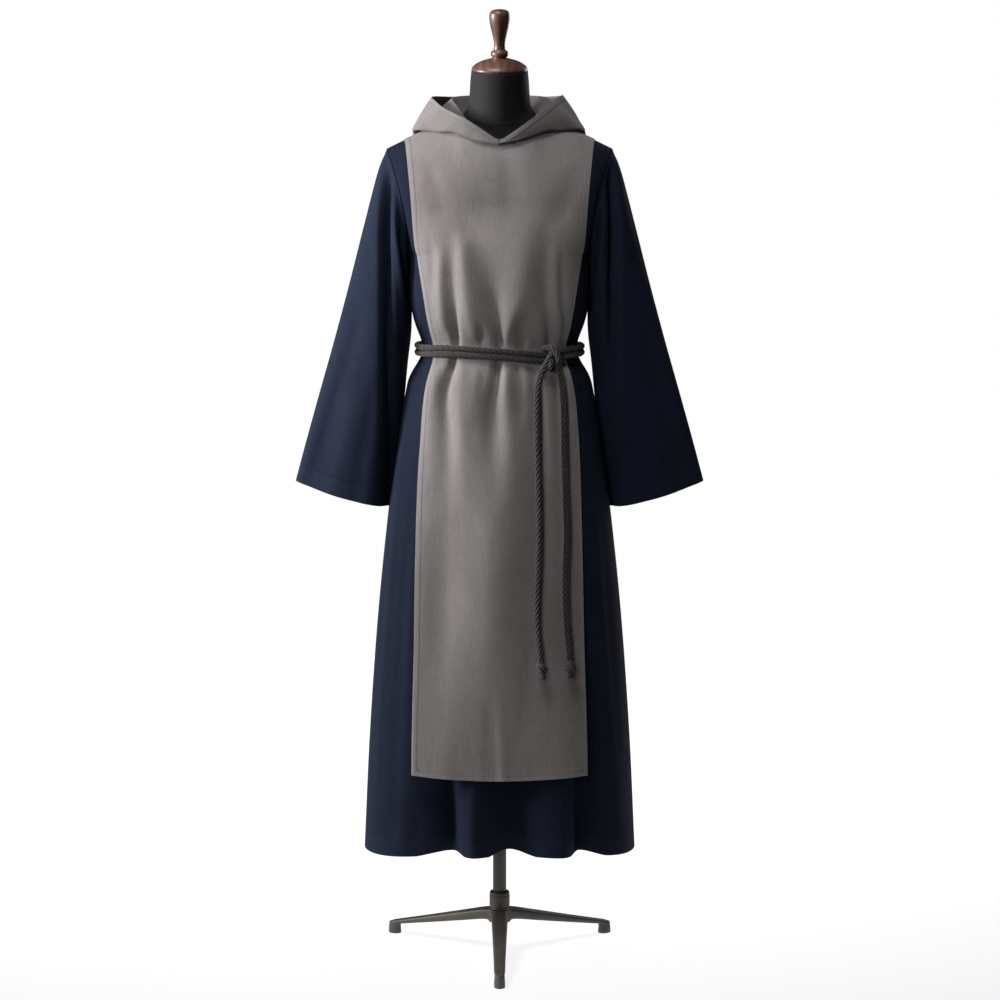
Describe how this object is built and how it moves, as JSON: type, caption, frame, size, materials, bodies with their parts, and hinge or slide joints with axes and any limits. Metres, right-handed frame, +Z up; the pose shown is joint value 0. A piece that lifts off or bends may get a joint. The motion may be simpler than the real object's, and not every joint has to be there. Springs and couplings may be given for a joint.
{
  "type": "monk habit on dress form",
  "caption": "Long wide-sleeved tunic with a straight scapular, a hood laid down and a twisted rope belt, worn by a limbless dress form on a three-legged pole stand.",
  "frame": {"origin": "on the floor, straight under the pole of the stand", "axes": "+Z up, -Y the garment's front, +X the wearer's left, which is the viewer's right"},
  "size_m": [0.749, 0.4746, 1.7404],
  "materials": {
    "navy_cloth": "matt navy wool-type twill",
    "grey_cloth": "matt warm grey wool-type twill",
    "charcoal_rope": "twisted three-strand cotton rope",
    "black_cover": "close black cover of the dress form",
    "walnut": "glossy varnished reddish brown",
    "bronze_grey": "satin dark bronze-grey"
  },
  "bodies": {
    "root": {"tunic_front": "navy_cloth", "tunic_back": "navy_cloth", "sleeve_left": "navy_cloth", "sleeve_right": "navy_cloth", "scapular_front": "grey_cloth", "scapular_back": "grey_cloth", "hood_left": "grey_cloth", "hood_right": "grey_cloth", "belt_wrap_upper": "charcoal_rope", "belt_wrap_lower": "charcoal_rope", "belt_knot": "charcoal_rope", "belt_end_left": "charcoal_rope", "belt_end_right": "charcoal_rope", "belt_end_knot_left": "charcoal_rope", "belt_end_knot_right": "charcoal_rope", "form_torso": "black_cover", "neck_cap": "walnut", "pole": "bronze_grey", "base_collar": "bronze_grey", "base_legs": "bronze_grey"}
  },
  "joints": []
}
